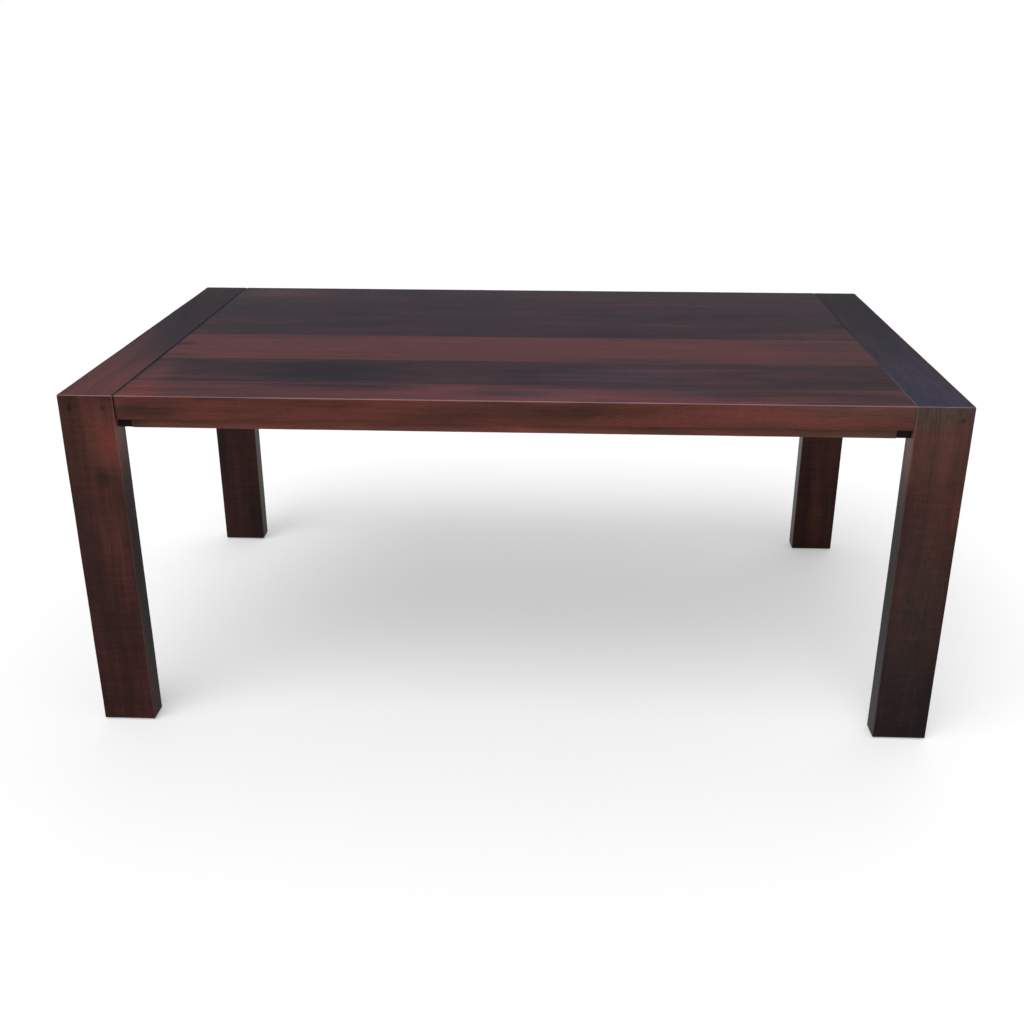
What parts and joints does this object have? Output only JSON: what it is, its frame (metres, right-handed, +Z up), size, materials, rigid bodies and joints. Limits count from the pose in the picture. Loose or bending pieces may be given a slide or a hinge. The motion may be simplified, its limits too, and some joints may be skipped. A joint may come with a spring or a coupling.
{
  "type": "parsons dining table",
  "caption": "Rectangular dining table with mitred leg-and-header end frames and a field of dark stained boards flush between them.",
  "frame": {"origin": "on the floor, under the centre of the table top", "axes": "+X along the table's length, +Y towards its back long side, +Z up"},
  "size_m": [1.8288, 1.0668, 0.762],
  "materials": {
    "stained_end_frame": "open-pored hardwood, dark red-brown stain under satin lacquer",
    "stained_top_board": "open-pored hardwood, dark red-brown stain under semi-gloss lacquer",
    "stained_under_frame": "same hardwood and stain, thin matt lacquer",
    "stained_dowel": "hardwood dowel, its end grain stained and lacquered with the leg",
    "beech": "bare beech",
    "zinc_plated_steel": "bright zinc plate",
    "brass": "machined brass",
    "nylon": "moulded dark brown nylon"
  },
  "bodies": {
    "root": {"back_edge_board": "stained_top_board", "bearer_screws": "zinc_plated_steel", "board_tongue_1": "beech", "board_tongue_2": "beech", "board_tongue_3": "beech", "board_tongue_4": "beech", "board_tongue_5": "beech", "corner_dowels_back_left": "stained_dowel", "corner_dowels_back_right": "stained_dowel", "corner_dowels_front_left": "stained_dowel", "corner_dowels_front_right": "stained_dowel", "cross_batten_1": "stained_under_frame", "cross_batten_2": "stained_under_frame", "cross_batten_3": "stained_under_frame", "end_bearer_left": "stained_under_frame", "end_bearer_right": "stained_under_frame", "end_cleat_left": "stained_under_frame", "end_cleat_right": "stained_under_frame", "field_board_1": "stained_top_board", "field_board_2": "stained_top_board", "field_board_3": "stained_top_board", "field_board_4": "stained_top_board", "foot_glide_back_left": "nylon", "foot_glide_back_right": "nylon", "foot_glide_front_left": "nylon", "foot_glide_front_right": "nylon", "frame_bolt_washers": "zinc_plated_steel", "frame_bolts": "zinc_plated_steel", "front_edge_board": "stained_top_board", "header_left": "stained_end_frame", "header_right": "stained_end_frame", "leg_back_left": "stained_end_frame", "leg_back_right": "stained_end_frame", "leg_front_left": "stained_end_frame", "leg_front_right": "stained_end_frame", "mitre_spline_back_left": "beech", "mitre_spline_back_right": "beech", "mitre_spline_front_left": "beech", "mitre_spline_front_right": "beech", "seam_tongue_left": "beech", "seam_tongue_right": "beech", "skirt_screws": "zinc_plated_steel", "skirt_strip_back": "stained_under_frame", "skirt_strip_front": "stained_under_frame", "slotted_screws": "zinc_plated_steel", "threaded_inserts": "brass"}
  },
  "joints": []
}
